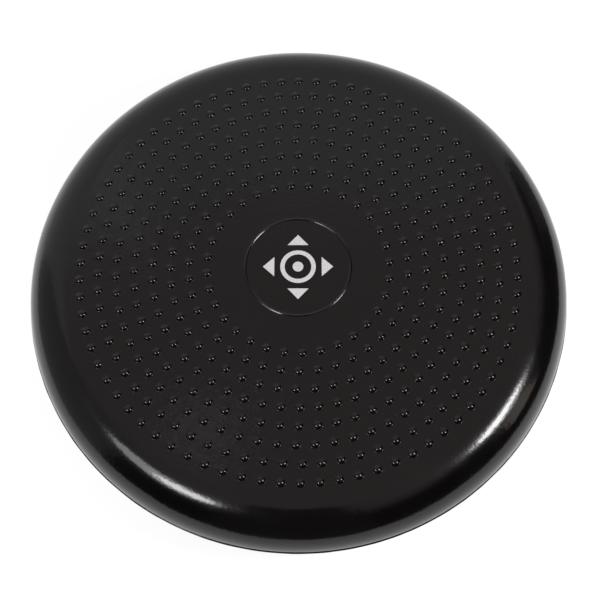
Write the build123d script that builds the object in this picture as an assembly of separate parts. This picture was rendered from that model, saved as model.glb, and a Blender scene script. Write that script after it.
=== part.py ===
from build123d import *
import math
import os

# A round, air-filled wobble cushion: two moulded skins welded together round the equator, fine nubs
# on the deck, coarse nubs underneath, and a needle valve in the middle of the underside.
# Millimetres. +Z is up, +Y points away from the user, and the origin is the middle of the footprint.

# Inflated skins
outer_radius = 165.0  # at the equator, over the weld bead
half_height = 29.0  # from the equator to the middle of the deck, and to the flat underside
dome_radius = 3250.0  # the deck is a very shallow dome
wall = 3.5

# Weld bead round the equator
bead_proud = 0.5
bead_height = 1.6
bead_depth = 1.3  # how far the bead reaches into the groove between the skins
bead_gap = 0.1  # radial room behind the bead

# Fine raised line round the plain middle of each skin
line_radius = 31.4
line_half_width = 0.6
line_rise = 0.35

# Fine nubs on the deck, in rings
deck_rings = 8
deck_first_ring_radius = 54.5
deck_ring_pitch = 10.87
deck_first_ring_nubs = 32
deck_nubs_added = 6  # each ring has this many nubs more than the ring inside it
deck_ring_start_deg = (3.6, -3.6, -0.5, -2.7, 0.3, 2.1, 1.0, -2.2)
deck_nub_ball_radius = 3.1
deck_nub_rise = 1.5

# The nubs of a deck ring are spaced a little unevenly: they crowd towards one side of the ring
sway = 1.1  # most that a nub is shifted along its ring
sway_first_heading_deg = 115.0
sway_turn_deg = 15.0  # the crowded side turns by this much from ring to ring

# Coarse nubs on the underside, with the tips worn flat where they stand on the floor
base_rings = 5
base_first_ring_radius = 48.0
base_ring_pitch = 18.0
base_first_ring_nubs = 18
base_nubs_added = 6
base_nub_radius = 4.5
base_nub_rise = 3.5
base_nub_tip_radius = 1.5
base_nub_root = 1.5  # how deep a nub is rooted in the skin

# Needle valve
neck_radius = 8.0
flange_radius = 15.0
flange_thickness = 2.0
seat_height = 19.0
recess_radius = 6.3
recess_depth = 1.7
web_thickness = 1.5
nose_radius = 2.5  # the core's nose, in the hole through the seat's web
core_radius = 4.5
core_head_radius = 6.2
core_head_thickness = 2.0
core_gap = 0.05  # radial room round the core
needle_guide_radius = 1.0
needle_guide_length = 9.5
stopper_head_radius = 5.9
stopper_head_thickness = 1.4
stopper_head_rounding = 0.4
stopper_pin_radius = 0.95
stopper_pin_length = 7.0
stopper_pin_rounding = 0.5
nick_radius = 1.4  # the fingernail nick beside the stopper's head

# Heights and radii that follow
skin_radius = outer_radius - bead_proud
underside = base_nub_rise
equator = underside + half_height
recess_floor = underside + recess_depth
web_top = recess_floor + web_thickness
seat_top = underside + seat_height


def disc(radius, bottom, top):
    """A flat disc about the Z axis."""
    return Pos(0, 0, bottom) * Cylinder(radius, top - bottom, align=(Align.CENTER, Align.CENTER, Align.MIN))


def ring(inner_radius, disc_radius, bottom, top):
    """A flat ring about the Z axis."""
    return disc(disc_radius, bottom, top) - disc(inner_radius, bottom, top)


def turned(edges):
    """The solid that a closed outline, drawn in radius and height, makes when turned about the Z axis."""
    return revolve(Plane.XZ * make_face(edges), Axis.Z)


def deck_outline(inset):
    """Half the deck's section, from the axis to the equator: the dome, then the round rim tangent to it.

    The rim's arc touches the dome from inside and meets the equator upright, which fixes its radius.
    """
    drop = dome_radius - half_height
    rim_radius = (dome_radius**2 - skin_radius**2 - drop**2) / (2 * (dome_radius - skin_radius))
    rim_centre = skin_radius - rim_radius
    join_deg = math.degrees(math.atan2(drop, rim_centre))
    dome = CenterArc((0, equator - drop), dome_radius - inset, 90, join_deg - 90)
    rim = CenterArc((rim_centre, equator), rim_radius - inset, join_deg, -join_deg)
    return dome, rim


def underside_outline(inset):
    """Half the underside's section, from the axis to the equator: flat, then a quarter circle."""
    rim_centre = skin_radius - half_height
    flat = Line((0, underside + inset), (rim_centre, underside + inset))
    rim = CenterArc((rim_centre, equator), half_height - inset, -90, 90)
    return flat, rim


def turned_skin(outline):
    """A skin of even thickness whose outside is the outline, with the groove for the weld bead."""
    middle_out, rim_out = outline(0)
    middle_in, rim_in = outline(wall)
    axis_edge = Line(middle_out @ 0, middle_in @ 0)
    weld_edge = Line(rim_out @ 1, rim_in @ 1)
    skin = turned([middle_out, rim_out, weld_edge, rim_in, middle_in, axis_edge])
    groove = ring(
        skin_radius - bead_depth - bead_gap,
        skin_radius + bead_depth,
        equator - bead_height / 2,
        equator + bead_height / 2,
    )
    return skin - groove


def raised_line(surface_height, outward):
    """The fine round line, a ring sunk mostly into the skin; outward is +1 on the deck and -1 underneath."""
    sink = line_half_width - line_rise
    return Pos(0, 0, surface_height - outward * sink) * Torus(line_radius, line_half_width)


def deck_height(radius):
    """Height of the dome's outside at a radius."""
    return equator + half_height - dome_radius + math.sqrt(dome_radius**2 - radius**2)


def deck_nub_places():
    """Plan positions of the deck's nubs, ring by ring."""
    for index in range(deck_rings):
        radius = deck_first_ring_radius + index * deck_ring_pitch
        count = deck_first_ring_nubs + index * deck_nubs_added
        start = math.radians(deck_ring_start_deg[index])
        heading = math.radians(sway_first_heading_deg + index * sway_turn_deg)
        for step in range(count):
            angle = start + 2 * math.pi * step / count
            angle += sway / radius * math.cos(angle - heading)
            yield radius * math.cos(angle), radius * math.sin(angle)


def base_nub_places():
    """Plan positions of the underside's nubs; every second ring is turned by half a step."""
    for index in range(base_rings):
        radius = base_first_ring_radius + index * base_ring_pitch
        count = base_first_ring_nubs + index * base_nubs_added
        for step in range(count):
            angle = 2 * math.pi * (step + index % 2 / 2) / count
            yield radius * math.cos(angle), radius * math.sin(angle)


def base_nub():
    """One coarse nub: a ball cut flat at the tip and inside the skin, standing on the origin."""
    centre = (base_nub_radius**2 - base_nub_tip_radius**2 + base_nub_rise**2) / (2 * base_nub_rise)
    ball = Pos(0, 0, centre) * Sphere(math.hypot(centre, base_nub_tip_radius))
    return ball & disc(2 * base_nub_radius, 0, base_nub_rise + base_nub_root)


def upper_membrane():
    """The deck and the upper half of the rim, in one moulding."""
    skin = turned_skin(deck_outline)
    ball = Sphere(deck_nub_ball_radius)
    sink = deck_nub_ball_radius - deck_nub_rise
    nubs = [Pos(x, y, deck_height(math.hypot(x, y)) - sink) * ball for x, y in deck_nub_places()]
    return skin.fuse(raised_line(deck_height(line_radius), 1), *nubs)


def lower_membrane():
    """The underside and the lower half of the rim, in one moulding, with a hole for the valve."""
    skin = turned_skin(underside_outline)
    skin -= disc(neck_radius, underside - wall, underside + 2 * wall)
    nub = base_nub()
    nubs = [Pos(x, y, 0) * nub for x, y in base_nub_places()]
    return skin.fuse(raised_line(underside, -1), *nubs)


def rim_seam():
    """The weld bead: flat where it fills the groove, half round where it stands proud."""
    half = bead_height / 2
    crown = outer_radius - half
    back = Line((skin_radius - bead_depth, equator + half), (skin_radius - bead_depth, equator - half))
    lower_side = Line(back @ 1, (crown, equator - half))
    face = CenterArc((crown, equator), half, -90, 180)
    upper_side = Line(face @ 1, back @ 0)
    return turned([back, lower_side, face, upper_side])


def valve_seat():
    """The moulded boss welded into the underside; it holds the core and hides the stopper's head."""
    seat = disc(neck_radius, underside, seat_top)
    seat += disc(flange_radius, underside + wall, underside + wall + flange_thickness)
    seat -= disc(recess_radius, underside, recess_floor)
    seat -= disc(nose_radius, recess_floor, web_top)
    seat -= disc(core_radius, web_top, seat_top)
    seat -= disc(core_head_radius, seat_top - core_head_thickness, seat_top)
    nick = Pos(recess_radius, 0, underside) * Sphere(nick_radius)
    return seat - nick


def valve_core():
    """The rubber plug that seals round an inflating needle; its guide hole ends blind at a closed slit."""
    core = disc(nose_radius - core_gap, recess_floor, web_top)
    core += disc(core_radius - core_gap, web_top, seat_top)
    core += disc(core_head_radius - core_gap, seat_top - core_head_thickness, seat_top)
    return core - disc(needle_guide_radius, recess_floor, recess_floor + needle_guide_length)


def valve_stopper():
    """The pull-out stopper: a flat head in the recess and a pin in the needle guide."""
    head = disc(stopper_head_radius, recess_floor - stopper_head_thickness, recess_floor)
    head = fillet(head.edges().group_by(Axis.Z)[0], stopper_head_rounding)
    pin = disc(stopper_pin_radius, recess_floor, recess_floor + stopper_pin_length)
    pin = fillet(pin.edges().group_by(Axis.Z)[-1], stopper_pin_rounding)
    return head + pin


pieces = {
    "upper_membrane": upper_membrane(),
    "lower_membrane": lower_membrane(),
    "rim_seam": rim_seam(),
    "valve_seat": valve_seat(),
    "valve_core": valve_core(),
    "valve_stopper": valve_stopper(),
}

os.makedirs("parts", exist_ok=True)
for node, piece in pieces.items():
    export_step(piece, f"parts/{node}.step")
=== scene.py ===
import math

import bpy
import numpy as np
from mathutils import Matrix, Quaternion, Vector, noise
from mathutils.geometry import delaunay_2d_cdt


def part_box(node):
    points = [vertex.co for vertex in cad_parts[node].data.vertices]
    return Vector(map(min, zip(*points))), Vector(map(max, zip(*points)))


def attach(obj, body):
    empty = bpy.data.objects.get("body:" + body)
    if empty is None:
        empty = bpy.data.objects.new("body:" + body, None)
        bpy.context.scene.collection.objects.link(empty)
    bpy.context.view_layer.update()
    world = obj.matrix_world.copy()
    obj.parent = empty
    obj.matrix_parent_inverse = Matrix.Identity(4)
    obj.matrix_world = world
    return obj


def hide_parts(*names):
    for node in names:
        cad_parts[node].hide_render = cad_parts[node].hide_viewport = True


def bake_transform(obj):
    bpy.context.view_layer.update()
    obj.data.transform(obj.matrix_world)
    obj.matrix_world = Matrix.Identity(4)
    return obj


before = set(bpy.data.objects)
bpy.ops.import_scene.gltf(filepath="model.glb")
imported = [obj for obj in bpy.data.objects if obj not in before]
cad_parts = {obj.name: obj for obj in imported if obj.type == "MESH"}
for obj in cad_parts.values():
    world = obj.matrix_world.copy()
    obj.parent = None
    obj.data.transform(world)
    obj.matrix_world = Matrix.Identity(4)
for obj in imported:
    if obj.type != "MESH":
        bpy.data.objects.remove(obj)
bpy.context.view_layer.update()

# A round, air-filled wobble cushion in black glossy PVC. +Z is up and +Y points away from the viewer.
# Sizes are in metres; those that the frame can't give are named here, in millimetres times MM.
MM = 0.001
TURN = 2 * math.pi

DOME_RADIUS = 3250 * MM
WALL = 3.5 * MM
BEAD_PROUD = 0.5 * MM
BEAD_DEPTH = 1.3 * MM
BEAD_GAP = 0.1 * MM
LINE_RADIUS = 31.4 * MM  # the fine raised line round the plain middle of each skin
LINE_RISE = 0.5 * MM
LINE_WIDTH = 0.5 * MM

DECK_RINGS = 8
DECK_FIRST_RING_RADIUS = 54.5 * MM
DECK_RING_PITCH = 10.87 * MM
DECK_FIRST_RING_NUBS = 32
DECK_NUBS_ADDED = 6  # each ring has this many nubs more than the ring inside it
DECK_RING_START_DEG = (3.6, -3.6, -0.5, -2.7, 0.3, 2.1, 1.0, -2.2)
SWAY = 1.1 * MM  # most that a nub is shifted along its ring
SWAY_FIRST_HEADING_DEG = 115.0
SWAY_TURN_DEG = 15.0

BASE_RINGS = 5
BASE_FIRST_RING_RADIUS = 48 * MM
BASE_RING_PITCH = 18 * MM
BASE_FIRST_RING_NUBS = 18
BASE_NUBS_ADDED = 6
VALVE_NECK_RADIUS = 8 * MM

# Places that the frame gives
seam_low, seam_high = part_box("rim_seam")
outer_radius = seam_high.x
bead_half_height = (seam_high.z - seam_low.z) / 2
equator = (seam_high.z + seam_low.z) / 2
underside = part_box("valve_seat")[0].z
half_height = equator - underside
skin_radius = outer_radius - BEAD_PROUD

# The deck's round rim is tangent to the dome; the underside is flat, with a quarter circle for its rim
dome_drop = DOME_RADIUS - half_height
deck_rim_radius = (DOME_RADIUS**2 - skin_radius**2 - dome_drop**2) / (2 * (DOME_RADIUS - skin_radius))
deck_rim_centre = skin_radius - deck_rim_radius
deck_join = math.atan2(deck_rim_centre, dome_drop)
base_rim_centre = skin_radius - half_height


# ---- camera and studio ----

CAMERA_FROM_DECK = Vector((5.3 * MM, -289.4 * MM, 653.9 * MM))  # from the middle of the deck
CAMERA_ELEVATION_DEG = 67.72
CAMERA_HEADING_DEG = -0.88
CAMERA_ROLL_DEG = -0.95
CAMERA_LENS = 72
CAMERA_SENSOR = 36
SOFTBOX_DISTANCE = 0.94
FLOOR_HALF_SIZE = 0.42  # it ends close by, so that the rim mirrors dark surroundings just above it
FLOOR_GREY = 0.3
FLOOR_GLOW_SEEN = 0.85
FLOOR_GLOW_MIRRORED = 0.5

# The dim walls turn into the pale ceiling between these heights of a direction of length 1
CEILING_START = 0.54
CEILING_FULL = 0.88
WALL_COLOUR = (0.03, 0.026, 0.027, 1)
CEILING_COLOUR = (0.42, 0.36, 0.37, 1)

# Upright panels that the gloss mirrors, each over the ones before it: its azimuth, half width, foot, head
# and softness in degrees, and its colour
PANELS = (
    (180, 28, -20, 70, 4, (0.31, 0.29, 0.29)),  # a wall on the left
    (42, 8, -5, 28, 3, (0.14, 0.125, 0.125)),  # a dim corner, far right
    (60, 10, -20, 53, 1.5, (0.5, 0.5, 0.5)),  # a low screen beside the next one
    (111, 43, -20, 61, 1.5, (0.55, 0.55, 0.55)),  # a wide screen beyond the cushion
    (114.5, 1.4, 50, 63, 0.8, (0.9, 0.9, 0.93)),  # a light stand in front of it
    (118, 7, 74.6, 77, 0.7, (1.0, 1.0, 1.03)),  # a lamp overhead
    (-92, 24, -60, 74, 3, (0.07, 0.062, 0.062)),  # the dark place behind the camera
    (-12, 7, 12, 34, 1.5, (1.1, 0.97, 0.88)),  # a warm screen on the right
)


def direction(azimuth_deg, elevation_deg):
    """A unit vector; azimuth runs from +X towards +Y."""
    azimuth = math.radians(azimuth_deg)
    elevation = math.radians(elevation_deg)
    level = math.cos(elevation)
    return Vector((level * math.cos(azimuth), level * math.sin(azimuth), math.sin(elevation)))


def add_camera():
    """A camera that looks down at the deck from in front."""
    forward = -direction(-90 - CAMERA_HEADING_DEG, CAMERA_ELEVATION_DEG)
    data = bpy.data.cameras.new("camera")
    data.lens = CAMERA_LENS
    data.sensor_width = CAMERA_SENSOR
    camera = bpy.data.objects.new("camera", data)
    bpy.context.scene.collection.objects.link(camera)
    camera.location = CAMERA_FROM_DECK + Vector((0, 0, equator + half_height))
    camera.rotation_mode = "QUATERNION"
    roll = Quaternion((0, 0, 1), math.radians(CAMERA_ROLL_DEG))
    camera.rotation_quaternion = forward.to_track_quat("-Z", "Y") @ roll
    bpy.context.scene.camera = camera


def add_softbox(name, azimuth_deg, elevation_deg, width, height, radiance):
    """A soft round light that faces the cushion."""
    area = math.pi / 4 * width * height
    data = bpy.data.lights.new(name, "AREA")
    data.shape = "ELLIPSE"
    data.size = width
    data.size_y = height
    data.energy = radiance * math.pi * area
    light = bpy.data.objects.new(name, data)
    bpy.context.scene.collection.objects.link(light)
    toward = direction(azimuth_deg, elevation_deg)
    light.location = toward * SOFTBOX_DISTANCE
    light.rotation_mode = "QUATERNION"
    light.rotation_quaternion = toward.to_track_quat("Z", "Y")
    light.visible_camera = False


class Nodes:
    """Short calls for building a node tree."""

    def __init__(self, tree):
        self.tree = tree
        tree.nodes.clear()

    def add(self, kind, **settings):
        node = self.tree.nodes.new(kind)
        for key, value in settings.items():
            setattr(node, key, value)
        return node

    def link(self, source, target):
        """Joins an output socket to an input socket, or sets a plain value on the input."""
        if isinstance(source, bpy.types.NodeSocket):
            self.tree.links.new(source, target)
        else:
            target.default_value = source

    def math(self, operation, first, second=0.0):
        node = self.add("ShaderNodeMath", operation=operation)
        self.link(first, node.inputs[0])
        self.link(second, node.inputs[1])
        return node.outputs[0]

    def mapped(self, value, low, high, to_low=0.0, to_high=1.0):
        """value, smoothly mapped from low..high to to_low..to_high."""
        node = self.add("ShaderNodeMapRange", interpolation_type="SMOOTHSTEP")
        for number, source in enumerate((value, low, high, to_low, to_high)):
            self.link(source, node.inputs[number])
        return node.outputs[0]

    def mix(self, factor, first, second):
        """A colour between two colours."""
        node = self.add("ShaderNodeMixRGB")
        self.link(factor, node.inputs["Fac"])
        self.link(first, node.inputs["Color1"])
        self.link(second, node.inputs["Color2"])
        return node.outputs[0]

    def noise(self, place, wavelength, detail=2.0, roughness=0.5):
        node = self.add("ShaderNodeTexNoise")
        self.link(place, node.inputs["Vector"])
        node.inputs["Scale"].default_value = 1 / wavelength
        node.inputs["Detail"].default_value = detail
        node.inputs["Roughness"].default_value = roughness
        return node.outputs["Fac"]

    def bump(self, height, distance, normal=None):
        node = self.add("ShaderNodeBump")
        self.link(height, node.inputs["Height"])
        node.inputs["Distance"].default_value = distance
        if normal is not None:
            self.link(normal, node.inputs["Normal"])
        return node.outputs[0]


def add_world():
    """The surroundings that the gloss mirrors; straight to the camera they are white."""
    world = bpy.data.worlds.new("studio")
    bpy.context.scene.world = world
    world.use_nodes = True
    nodes = Nodes(world.node_tree)
    toward = nodes.add("ShaderNodeTexCoord").outputs["Generated"]
    parts = nodes.add("ShaderNodeSeparateXYZ")
    nodes.link(toward, parts.inputs[0])
    height = parts.outputs["Z"]
    plan = nodes.add("ShaderNodeCombineXYZ")
    nodes.link(parts.outputs["X"], plan.inputs["X"])
    nodes.link(parts.outputs["Y"], plan.inputs["Y"])
    level = nodes.add("ShaderNodeVectorMath", operation="NORMALIZE")
    nodes.link(plan.outputs[0], level.inputs[0])

    def panel(azimuth_deg, half_width_deg, low_deg, high_deg, soft_deg):
        """1 inside an upright panel in that direction, 0 outside it, soft at its edges."""
        facing = nodes.add("ShaderNodeVectorMath", operation="DOT_PRODUCT")
        nodes.link(level.outputs[0], facing.inputs[0])
        facing.inputs[1].default_value = direction(azimuth_deg, 0)
        outside = math.cos(math.radians(half_width_deg + soft_deg))
        inside = math.cos(math.radians(half_width_deg - soft_deg))
        across = nodes.mapped(facing.outputs["Value"], outside, inside)
        foot = [math.sin(math.radians(low_deg + offset)) for offset in (-soft_deg, soft_deg)]
        head = [math.sin(math.radians(high_deg + offset)) for offset in (-soft_deg, soft_deg)]
        upright = nodes.math("MULTIPLY", nodes.mapped(height, *foot), nodes.mapped(height, *head, 1.0, 0.0))
        return nodes.math("MULTIPLY", across, upright)

    ceiling = nodes.mapped(height, CEILING_START, CEILING_FULL)
    colour = nodes.mix(ceiling, WALL_COLOUR, CEILING_COLOUR)
    for *extent, shade in PANELS:
        colour = nodes.mix(panel(*extent), colour, (*shade, 1))
    path = nodes.add("ShaderNodeLightPath")
    colour = nodes.mix(path.outputs["Is Camera Ray"], colour, (1, 1, 1, 1))
    background = nodes.add("ShaderNodeBackground")
    nodes.link(colour, background.inputs["Color"])
    output = nodes.add("ShaderNodeOutputWorld")
    nodes.link(background.outputs[0], output.inputs[0])


def add_floor():
    """A pale floor, lifted by a glow so that only the closest shade is left on it."""
    half = FLOOR_HALF_SIZE
    corners = [(-half, -half, 0), (half, -half, 0), (half, half, 0), (-half, half, 0)]
    mesh = bpy.data.meshes.new("floor")
    mesh.from_pydata(corners, [], [(0, 1, 2, 3)])
    floor = bpy.data.objects.new("floor", mesh)
    bpy.context.scene.collection.objects.link(floor)
    material, nodes, shader = principled("floor_paper")
    shader.inputs["Base Color"].default_value = (FLOOR_GREY, FLOOR_GREY, FLOOR_GREY, 1)
    shader.inputs["Roughness"].default_value = 1.0
    shader.inputs["Specular IOR Level"].default_value = 0.0
    shader.inputs["Emission Color"].default_value = (1, 1, 1, 1)
    path = nodes.add("ShaderNodeLightPath")
    glow = nodes.mapped(path.outputs["Is Camera Ray"], 0.0, 1.0, FLOOR_GLOW_MIRRORED, FLOOR_GLOW_SEEN)
    nodes.link(glow, shader.inputs["Emission Strength"])
    mesh.materials.append(material)


# ---- materials ----


def principled(name):
    """A new material, its node helper and its shader."""
    material = bpy.data.materials.new(name)
    material.use_nodes = True
    nodes = Nodes(material.node_tree)
    shader = nodes.add("ShaderNodeBsdfPrincipled")
    nodes.link(shader.outputs[0], nodes.add("ShaderNodeOutputMaterial").inputs[0])
    return material, nodes, shader


def object_place(nodes):
    """The place of a point on the object, which moves with it."""
    return nodes.add("ShaderNodeTexCoord").outputs["Object"]


def black_pvc():
    """Soft black PVC: a clear gloss over a hazy one, with orange peel, fine grain and specks of dust."""
    material, nodes, shader = principled("black_pvc")
    place = object_place(nodes)
    cloud = nodes.noise(place, 70 * MM, 3)
    haze = nodes.noise(place, 18 * MM, 4, 0.6)
    peel = nodes.noise(place, 2.4 * MM, 2)
    grain = nodes.noise(place, 0.4 * MM, 2)
    dust = nodes.mapped(nodes.noise(place, 0.7 * MM, 1), 0.76, 0.80)
    colour = nodes.mix(cloud, (0.0014, 0.0013, 0.0013, 1), (0.0030, 0.0024, 0.0023, 1))
    nodes.link(nodes.mix(dust, colour, (0.05, 0.048, 0.045, 1)), shader.inputs["Base Color"])
    nodes.link(nodes.mapped(haze, 0.3, 0.8, 0.16, 0.24), shader.inputs["Roughness"])
    shader.inputs["IOR"].default_value = 1.3
    shader.inputs["Coat Weight"].default_value = 1.0
    shader.inputs["Coat Roughness"].default_value = 0.1
    shader.inputs["Coat IOR"].default_value = 1.36
    relief = nodes.bump(grain, 0.004 * MM, nodes.bump(peel, 0.05 * MM))
    nodes.link(relief, shader.inputs["Normal"])
    nodes.link(relief, shader.inputs["Coat Normal"])
    return material


def finish_material(name, dark, pale, rough, wavelength, relief_height):
    """A finish that varies at one scale: its colour, roughness and relief follow the same noise."""
    material, nodes, shader = principled(name)
    pattern = nodes.noise(object_place(nodes), wavelength, 4, 0.6)
    spread = nodes.mapped(pattern, 0.25, 0.75)
    nodes.link(nodes.mix(spread, dark, pale), shader.inputs["Base Color"])
    nodes.link(nodes.mapped(spread, 0.0, 1.0, *rough), shader.inputs["Roughness"])
    nodes.link(nodes.bump(pattern, relief_height), shader.inputs["Normal"])
    return material


def weld_pvc():
    """The weld bead: the same PVC, melted and set a little rougher."""
    return finish_material(
        "weld_pvc",
        dark=(0.003, 0.003, 0.003, 1),
        pale=(0.010, 0.009, 0.009, 1),
        rough=(0.14, 0.32),
        wavelength=3 * MM,
        relief_height=0.08 * MM,
    )


def valve_rubber():
    """Dull dark rubber with a powdery bloom."""
    return finish_material(
        "valve_rubber",
        dark=(0.016, 0.016, 0.016, 1),
        pale=(0.055, 0.054, 0.052, 1),
        rough=(0.60, 0.82),
        wavelength=1.2 * MM,
        relief_height=0.03 * MM,
    )


def stopper_plastic():
    """Off-white moulded plastic, satin and a little soiled: rougher where it is darker."""
    return finish_material(
        "stopper_plastic",
        dark=(0.62, 0.60, 0.56, 1),
        pale=(0.78, 0.77, 0.74, 1),
        rough=(0.52, 0.36),
        wavelength=2.5 * MM,
        relief_height=0.02 * MM,
    )


def print_ink():
    """White pad-printed ink, satin, a little thin in places."""
    return finish_material(
        "print_ink",
        dark=(0.72, 0.72, 0.73, 1),
        pale=(0.86, 0.86, 0.86, 1),
        rough=(0.6, 0.42),
        wavelength=1.4 * MM,
        relief_height=0.01 * MM,
    )


# ---- where the skins lie ----

WAVES = ((48 * MM, 0.16 * MM), (17 * MM, 0.035 * MM), (7 * MM, 0.010 * MM))  # wavelength and size
WAVE_FREE = 1 * MM  # no waves nearer than this to the weld
WAVE_FULL = 8 * MM  # full waves from this far


def deck_height(radius):
    """Height of the deck's plain dome, at one radius or many."""
    return equator - dome_drop + np.sqrt(DOME_RADIUS**2 - radius**2)


def base_height(radius):
    """Height of the underside, which is flat, at one radius or many."""
    return underside + 0 * radius


def smooth(value):
    """0 below 0, 1 above 1, and a smooth step between."""
    value = np.clip(value, 0, 1)
    return value * value * (3 - 2 * value)


def waved(points, rim_centre, still_radius=0.0):
    """Moves points of a skin along its normal, in the shallow unevenness of an inflated skin.

    The weld stays where it is, and so does everything within still_radius of the axis.
    """
    points = np.array(points)
    radius = np.hypot(points[:, 0], points[:, 1])
    out = np.maximum(radius - rim_centre, 0)
    up = points[:, 2] - equator
    reach = np.maximum(np.hypot(out, up), MM)  # never 0, because it divides
    swell = np.array([sum(size * noise.noise(Vector(p) / length) for length, size in WAVES) for p in points])
    swell *= smooth((abs(up) - WAVE_FREE) / (WAVE_FULL - WAVE_FREE))
    if still_radius:
        swell *= smooth((radius - still_radius) / WAVE_FULL)
    stretch = 1 + swell * out / reach / np.maximum(radius, MM)
    points[:, :2] *= stretch[:, None]
    points[:, 2] += swell * up / reach
    return points


def circle(centre, radius, count):
    """Plan points round a circle, anticlockwise."""
    angle = np.arange(count) * TURN / count
    return np.asarray(centre) + radius * np.column_stack((np.cos(angle), np.sin(angle)))


def arc(centre_radius, centre_height, size, start, stop, steps):
    """Points (radius, height) on an arc; angles run from straight up towards outwards."""
    sweep = np.linspace(start, stop, steps + 1)
    return list(zip(centre_radius + size * np.sin(sweep), centre_height + size * np.cos(sweep)))


# ---- meshes ----

SHARP_ANGLE = math.radians(48)


class Surface:
    """Vertices and faces of one mesh while it is built."""

    def __init__(self):
        self.points = []
        self.faces = []

    def add(self, points):
        """Adds vertices and returns their numbers."""
        first = len(self.points)
        self.points.extend(tuple(point) for point in points)
        return list(range(first, len(self.points)))

    def lay(self, plan, heights):
        """Adds vertices at plan points, all at one height or each at its own."""
        return self.add(np.column_stack((plan, np.broadcast_to(heights, len(plan)))))

    def join(self, below, above, flip=False):
        """Faces between two rings, seen anticlockwise from outside when below is the lower or outer one.

        The first ring may have a whole number of vertices for each one in the second, or the reverse.
        """
        if flip:
            below, above = above, below
        steps = min(len(below), len(above))
        low = len(below) // steps
        high = len(above) // steps
        for i in range(steps):
            edge = [below[(i * low + k) % len(below)] for k in range(low + 1)]
            back = [above[(i * high + k) % len(above)] for k in range(high + 1)]
            self.faces.append(tuple(edge + back[::-1]))

    def cap(self, ring, point, flip=False):
        """A fan from a ring, anticlockwise from outside, to one more vertex."""
        if flip:
            ring = ring[::-1]
        (middle,) = self.add([point])
        for i, here in enumerate(ring):
            self.faces.append((here, ring[(i + 1) % len(ring)], middle))

    def turn(self, ring, outline, flip):
        """Turns an outline of (radius, height) about the Z axis, on from a ring. Returns the last ring."""
        for radius, height in outline:
            following = self.lay(circle((0, 0), radius, len(ring)), height)
            self.join(ring, following, flip)
            ring = following
        return ring

    def make(self, name, material, points):
        """The mesh object, with its vertices moved to points, smooth except at its sharp edges."""
        mesh = bpy.data.meshes.new(name)
        mesh.from_pydata([tuple(point) for point in points], [], self.faces)
        mesh.materials.append(material)
        mesh.validate()
        mesh.shade_smooth()
        mesh.set_sharp_from_angle(angle=SHARP_ANGLE)
        made = bpy.data.objects.new(name, mesh)
        bpy.context.scene.collection.objects.link(made)
        return made


# ---- nubs ----

NUB_SEGMENTS = 24
FILLET_STEPS = 5
CROWN_STEPS = 8
SKIRT = 0.6 * MM  # width of the plain ring of skin round a nub's fillet
SKIRT_RINGS = (0.5, 0.2)  # where it is divided, in parts of its width
MOUND_REACH = 4.5 * MM  # how far the skin swells round each fine nub


class Nub:
    """A nub's shape: a ball sunk in the skin, with a fillet round its foot and perhaps a tip worn flat.

    The skin swells a little round it, by mound, and a plain skirt keeps the fillet's shading off the skin.
    """

    def __init__(self, ball, rise, fillet, tip_radius, mound):
        sink = math.sqrt(ball**2 - tip_radius**2) - rise
        meet = math.acos((fillet + sink) / (ball + fillet))
        foot = (ball + fillet) * math.sin(meet)
        self.reach = foot + SKIRT
        skirt = np.column_stack((foot + SKIRT * np.array(SKIRT_RINGS), np.zeros(len(SKIRT_RINGS))))
        sweep = np.linspace(0, meet, FILLET_STEPS + 1)
        around_foot = np.column_stack((foot - fillet * np.sin(sweep), fillet - fillet * np.cos(sweep)))
        sweep = np.linspace(meet, math.asin(tip_radius / ball), CROWN_STEPS + 1)[1:]
        crown = np.column_stack((ball * np.sin(sweep), ball * np.cos(sweep) - sink))
        section = np.concatenate((skirt, around_foot, crown))
        self.section = section[section[:, 0] > 0]  # the cap adds the point on the axis
        self.rise = rise
        self.mound = mound

    def swell(self, distance):
        """How far the skin swells at a distance from the nub's middle."""
        return self.mound * np.exp(-((distance / MOUND_REACH) ** 2))

    def build(self, surface, ring, place, height_at, outward, scale):
        """Builds one nub on the ring round its skirt; outward is +1 on the deck and -1 underneath."""
        for reach, rise in self.section * scale:
            plan = circle(place, reach, NUB_SEGMENTS)
            heights = height_at(np.hypot(*plan.T)) + outward * (rise + self.swell(reach))
            following = surface.lay(plan, heights)
            surface.join(ring, following, flip=outward < 0)
            ring = following
        height = height_at(math.hypot(*place)) + outward * (self.rise * scale + self.mound)
        surface.cap(ring, (*place, height), flip=outward < 0)


FINE_NUB = Nub(ball=3.1 * MM, rise=1.5 * MM, fillet=0.3 * MM, tip_radius=0, mound=0.05 * MM)
COARSE_NUB = Nub(ball=4.574 * MM, rise=3.5 * MM, fillet=0.9 * MM, tip_radius=1.5 * MM, mound=0)


def deck_nub_places():
    """Plan positions of the deck's nubs; the nubs of a ring crowd a little towards one side."""
    places = []
    for index in range(DECK_RINGS):
        radius = DECK_FIRST_RING_RADIUS + index * DECK_RING_PITCH
        count = DECK_FIRST_RING_NUBS + index * DECK_NUBS_ADDED
        angle = math.radians(DECK_RING_START_DEG[index]) + np.arange(count) * TURN / count
        heading = math.radians(SWAY_FIRST_HEADING_DEG + index * SWAY_TURN_DEG)
        angle = angle + SWAY / radius * np.cos(angle - heading)
        places.append(radius * np.column_stack((np.cos(angle), np.sin(angle))))
    return np.concatenate(places)


def base_nub_places():
    """Plan positions of the underside's nubs; every second ring is turned by half a step."""
    places = []
    for index in range(BASE_RINGS):
        radius = BASE_FIRST_RING_RADIUS + index * BASE_RING_PITCH
        count = BASE_FIRST_RING_NUBS + index * BASE_NUBS_ADDED
        angle = (np.arange(count) + index % 2 / 2) * TURN / count
        places.append(radius * np.column_stack((np.cos(angle), np.sin(angle))))
    return np.concatenate(places)


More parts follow.
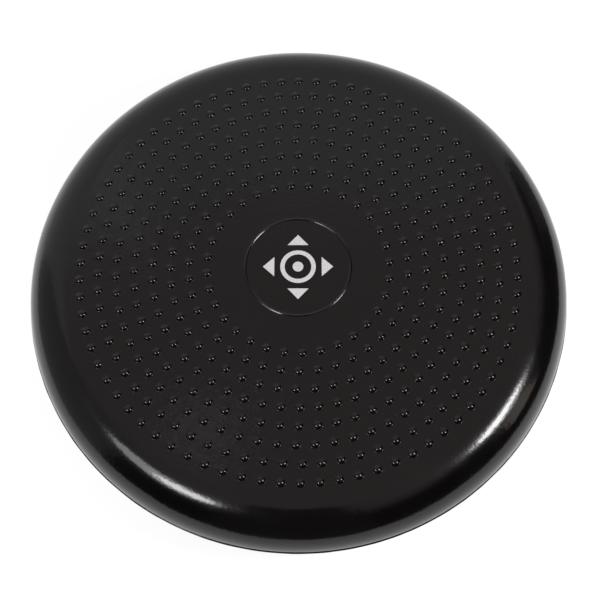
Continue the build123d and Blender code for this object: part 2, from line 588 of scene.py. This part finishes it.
def distance_to(points, places):
    """Each point's distance to the nearest of the places."""
    nearest = np.full(len(points), np.inf)
    for place in places:
        nearest = np.minimum(nearest, np.hypot(*(points - place).T))
    return nearest


# ---- skins ----

DECK_PATCH_RADIUS = 137 * MM  # the nubbed middle of a skin; its rim is turned from here outwards
BASE_PATCH_RADIUS = 133 * MM
NUB_VARIATION = 0.04  # a fine nub is up to this part larger or smaller
NUB_SEED = 7
SKIN_EDGE_ROUNDING = 0.35 * MM  # where a skin turns into the groove beside the weld bead

RIM_SEGMENTS = 512
HOLE_SEGMENTS = 64
LINE_SEGMENTS = 256
LINE_STEPS = 5  # rings of vertices on each side of the raised line
LINE_STEP = 0.25 * MM
GRID_PITCH = 2.2 * MM
GRID_CLEARANCE = 1.3 * MM  # between the grid's points and any ring of vertices
SAME_POINT = 1e-5  # millimetres
DOME_EDGE_STEPS = 2
UPPER_RIM_STEPS = 30
LOWER_RIM_STEPS = 34
INSIDE_RIM_STEPS = 8
INSIDE_DOME_STEPS = 6


def triangular_grid(radius):
    """Plan points of a triangular grid inside a circle."""
    across = np.arange(-radius, radius, GRID_PITCH)
    rows = np.arange(-radius, radius, GRID_PITCH * math.sqrt(3) / 2)
    points = np.array([(x + row % 2 * GRID_PITCH / 2, y) for row, y in enumerate(rows) for x in across])
    return points[np.hypot(*points.T) < radius - GRID_CLEARANCE]


def grid_between(patch_radius, hole_radius, places, nub):
    """The points of the grid that lie clear of the nubs, the raised line and the hole."""
    points = triangular_grid(patch_radius)
    radius = np.hypot(*points.T)
    clear = distance_to(points, places) > nub.reach + GRID_CLEARANCE
    clear &= abs(radius - LINE_RADIUS) > LINE_STEPS * LINE_STEP + GRID_CLEARANCE
    if hole_radius:
        clear &= radius > hole_radius + GRID_CLEARANCE
    return points[clear]


def between_nubs(points, places, nub):
    """How far the skin between its nubs stands out, along the raised line and round each nub."""
    radius = np.hypot(*points.T)
    line = LINE_RISE * np.exp(-(((radius - LINE_RADIUS) / LINE_WIDTH) ** 2))
    return line + nub.swell(distance_to(points, places))


def nubbed_patch(surface, patch_radius, height_at, outward, places, nub, scales, hole_radius=0.0):
    """The round middle of a skin, with every nub part of the same surface.

    Returns the vertices round its edge and, if it has a hole, round the hole.
    """
    rims = [circle((0, 0), patch_radius, RIM_SEGMENTS)]
    if hole_radius:
        rims.append(circle((0, 0), hole_radius, HOLE_SEGMENTS))
    feet = [circle(place, nub.reach * scale, NUB_SEGMENTS) for place, scale in zip(places, scales)]
    line_radii = LINE_RADIUS + LINE_STEP * np.arange(-LINE_STEPS, LINE_STEPS + 1)
    lines = [circle((0, 0), radius, LINE_SEGMENTS) for radius in line_radii]
    loops = rims + feet + lines
    plan = np.concatenate(loops + [grid_between(patch_radius, hole_radius, places, nub)])
    heights = height_at(np.hypot(*plan.T)) + outward * between_nubs(plan, places, nub)
    numbers = surface.lay(plan, heights)

    starts = np.cumsum([0] + [len(loop) for loop in loops]).tolist()
    rings = [numbers[start:stop] for start, stop in zip(starts, starts[1:])]
    first = numbers[0]
    sides = [(a - first, b - first) for ring in rings for a, b in zip(ring, ring[1:] + ring[:1])]
    opening = np.full(len(plan), -1)  # which hole or nub's foot a point is on, or -1
    for number in range(1, len(rims + feet)):
        opening[starts[number] : starts[number + 1]] = number
    solved = delaunay_2d_cdt([Vector(point / MM) for point in plan], sides, [], 0, SAME_POINT)
    original = [sources[0] for sources in solved[3]]
    for triangle in solved[2]:
        corners = [original[corner] for corner in triangle]
        openings = {opening[corner] for corner in corners}
        if openings == {-1} or len(openings) > 1:
            corners = corners if outward > 0 else corners[::-1]
            surface.faces.append(tuple(numbers[corner] for corner in corners))

    for place, scale, ring in zip(places, scales, rings[len(rims) :]):
        nub.build(surface, ring, place, height_at, outward, scale)
    return rings[: len(rims)]


def weld_edge(side):
    """From a skin's edge into the groove for the weld bead, and to the equator; side is +1 above."""
    lip = equator + side * bead_half_height
    back = skin_radius - BEAD_DEPTH - BEAD_GAP
    corner = 0.3 * SKIN_EDGE_ROUNDING  # from the sharp corner to the middle of the rounding
    return [
        (skin_radius - corner, lip + side * corner),
        (skin_radius - SKIN_EDGE_ROUNDING, lip),
        (back, lip),
        (back, equator),
    ]


def upper_skin(material):
    """The deck and the upper half of the rim: one closed shell."""
    surface = Surface()
    places = deck_nub_places()
    scales = 1 + NUB_VARIATION * np.random.default_rng(NUB_SEED).uniform(-1, 1, len(places))
    (ring,) = nubbed_patch(surface, DECK_PATCH_RADIUS, deck_height, 1, places, FINE_NUB, scales)
    dome_centre = equator - dome_drop
    edge_angle = math.acos((bead_half_height + SKIN_EDGE_ROUNDING) / deck_rim_radius)
    patch_angle = math.asin(DECK_PATCH_RADIUS / DOME_RADIUS)
    outside = arc(0, dome_centre, DOME_RADIUS, patch_angle, deck_join, DOME_EDGE_STEPS)[1:]
    outside += arc(deck_rim_centre, equator, deck_rim_radius, deck_join, edge_angle, UPPER_RIM_STEPS)[1:]
    inside = arc(deck_rim_centre, equator, deck_rim_radius - WALL, TURN / 4, deck_join, INSIDE_RIM_STEPS)
    inside += arc(0, dome_centre, DOME_RADIUS - WALL, deck_join, 0, INSIDE_DOME_STEPS)[1:-1]
    ring = surface.turn(ring, outside + weld_edge(1) + inside, flip=True)
    surface.cap(ring, (0, 0, equator + half_height - WALL), flip=True)
    skin = surface.make("upper_skin", material, waved(surface.points, deck_rim_centre))
    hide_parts("upper_membrane")
    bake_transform(skin)


def lower_skin(material):
    """The underside and the lower half of the rim: one closed shell round the valve's hole."""
    surface = Surface()
    places = base_nub_places()
    scales = np.ones(len(places))
    ring, hole = nubbed_patch(
        surface, BASE_PATCH_RADIUS, base_height, -1, places, COARSE_NUB, scales, VALVE_NECK_RADIUS
    )
    edge_angle = math.acos(-(bead_half_height + SKIN_EDGE_ROUNDING) / half_height)
    outside = arc(base_rim_centre, equator, half_height, TURN / 2, edge_angle, LOWER_RIM_STEPS)
    inside = arc(base_rim_centre, equator, half_height - WALL, TURN / 4, TURN / 2, INSIDE_RIM_STEPS)
    ring = surface.turn(ring, outside + weld_edge(-1) + inside, flip=False)
    lip = surface.lay(circle((0, 0), VALVE_NECK_RADIUS, HOLE_SEGMENTS), underside + WALL)
    surface.join(ring, lip)
    surface.join(lip, hole)
    skin = surface.make("lower_skin", material, waved(surface.points, base_rim_centre, base_rim_centre))
    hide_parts("lower_membrane")
    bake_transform(skin)


# ---- weld bead ----

BEAD_STEPS = 12
BEAD_WAVE = 9 * MM  # wavelength of the bead's unevenness
BEAD_WAVE_SIZE = 0.14 * MM


def weld_bead(material):
    """The weld bead: flat in its groove, half round outside, and a little uneven as welds are."""
    surface = Surface()
    half = bead_half_height
    back = skin_radius - BEAD_DEPTH
    outline = arc(outer_radius - half, equator, half, 0, TURN / 2, BEAD_STEPS)
    outline += [(back, equator - half), (back, equator + half)]
    rings = [surface.lay(circle((0, 0), radius, RIM_SEGMENTS), height) for radius, height in outline]
    for above, below in zip(rings, rings[1:] + rings[:1]):
        surface.join(below, above)
    points = []
    for x, y, z in surface.points:
        around = Vector((x, y, 0)) / BEAD_WAVE
        outward = max(math.hypot(x, y) - skin_radius, 0) / BEAD_PROUD
        grow = 1 + outward * BEAD_WAVE_SIZE * noise.noise(around) / outer_radius
        points.append((x * grow, y * grow, z + outward * BEAD_WAVE_SIZE * noise.noise(around.yxz)))
    bead = surface.make("weld_bead", material, points)
    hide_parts("rim_seam")
    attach(bead, "rim")


# ---- print: a generic sign for tilting every way, a target with four arrowheads ----

INK_PROUD = 0.05 * MM
INK_DEPTH = 0.15 * MM
INK_LOOPS = 4
TARGET_RADIUS = 10.6 * MM
TARGET_HOLE = 0.75
TARGET_SEGMENTS = 96
DOT_RADIUS = 3.2 * MM
DOT_SEGMENTS = 48
ARROW_DISTANCE = 16.4 * MM
ARROW_LENGTH = 6.8 * MM
ARROW_WIDTH = 12.5 * MM
ARROW_STEPS = 8  # along each side


def ink_plate(surface, centre, outline, hole=0.0):
    """A thin plate of ink on the deck. The outline is relative to the centre, and hole is its scale."""
    scales = np.linspace(1, hole, INK_LOOPS + 1)
    if not hole:
        scales = scales[:-1]
    sheets = []
    for offset, flip in ((INK_PROUD, False), (-INK_DEPTH, True)):
        rings = []
        for scale in scales:
            plan = np.asarray(centre) + scale * outline
            rings.append(surface.lay(plan, deck_height(np.hypot(*plan.T)) + offset))
        for outer, inner in zip(rings, rings[1:]):
            surface.join(outer, inner, flip)
        if not hole:
            surface.cap(rings[-1], (*centre, deck_height(math.hypot(*centre)) + offset), flip)
        sheets.append(rings)
    above, below = sheets
    surface.join(below[0], above[0])
    if hole:
        surface.join(above[-1], below[-1])


def arrowhead(heading):
    """The outline of an arrowhead that points along a heading, about its own middle."""
    along = Vector((math.cos(heading), math.sin(heading)))
    across = Vector((-along.y, along.x))
    tip = along * ARROW_LENGTH * 2 / 3
    left = across * ARROW_WIDTH / 2 - along * ARROW_LENGTH / 3
    right = -across * ARROW_WIDTH / 2 - along * ARROW_LENGTH / 3
    sides = ((tip, left), (left, right), (right, tip))
    parts = [step / ARROW_STEPS for step in range(ARROW_STEPS)]
    return np.array([start.lerp(end, part) for start, end in sides for part in parts])


def deck_print(material):
    """The sign, printed in the plain middle of the deck."""
    surface = Surface()
    ink_plate(surface, (0, 0), circle((0, 0), TARGET_RADIUS, TARGET_SEGMENTS), TARGET_HOLE)
    ink_plate(surface, (0, 0), circle((0, 0), DOT_RADIUS, DOT_SEGMENTS))
    for quarter in range(4):
        heading = quarter * TURN / 4
        centre = (ARROW_DISTANCE * math.cos(heading), ARROW_DISTANCE * math.sin(heading))
        ink_plate(surface, centre, arrowhead(heading))
    ink = surface.make("deck_print", material, waved(surface.points, deck_rim_centre))
    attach(ink, "deck")


# ---- valve: the CAD pieces, in their own materials ----


def dress(node, material):
    """Puts one material on a CAD piece."""
    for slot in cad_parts[node].material_slots:
        slot.material = material


bpy.context.scene.view_settings.view_transform = "Standard"
add_camera()
add_world()
add_floor()
add_softbox("softbox_left", azimuth_deg=-138, elevation_deg=47.5, width=0.48, height=0.28, radiance=4)
add_softbox("softbox_left_core", azimuth_deg=-129, elevation_deg=47.5, width=0.22, height=0.17, radiance=13)
add_softbox("softbox_right", azimuth_deg=-15, elevation_deg=44.3, width=0.34, height=0.32, radiance=4)
add_softbox("softbox_right_core", azimuth_deg=-16, elevation_deg=45, width=0.26, height=0.16, radiance=22)

pvc = black_pvc()
upper_skin(pvc)
lower_skin(pvc)
weld_bead(weld_pvc())
deck_print(print_ink())
dress("valve_seat", pvc)
dress("valve_core", valve_rubber())
dress("valve_stopper", stopper_plastic())
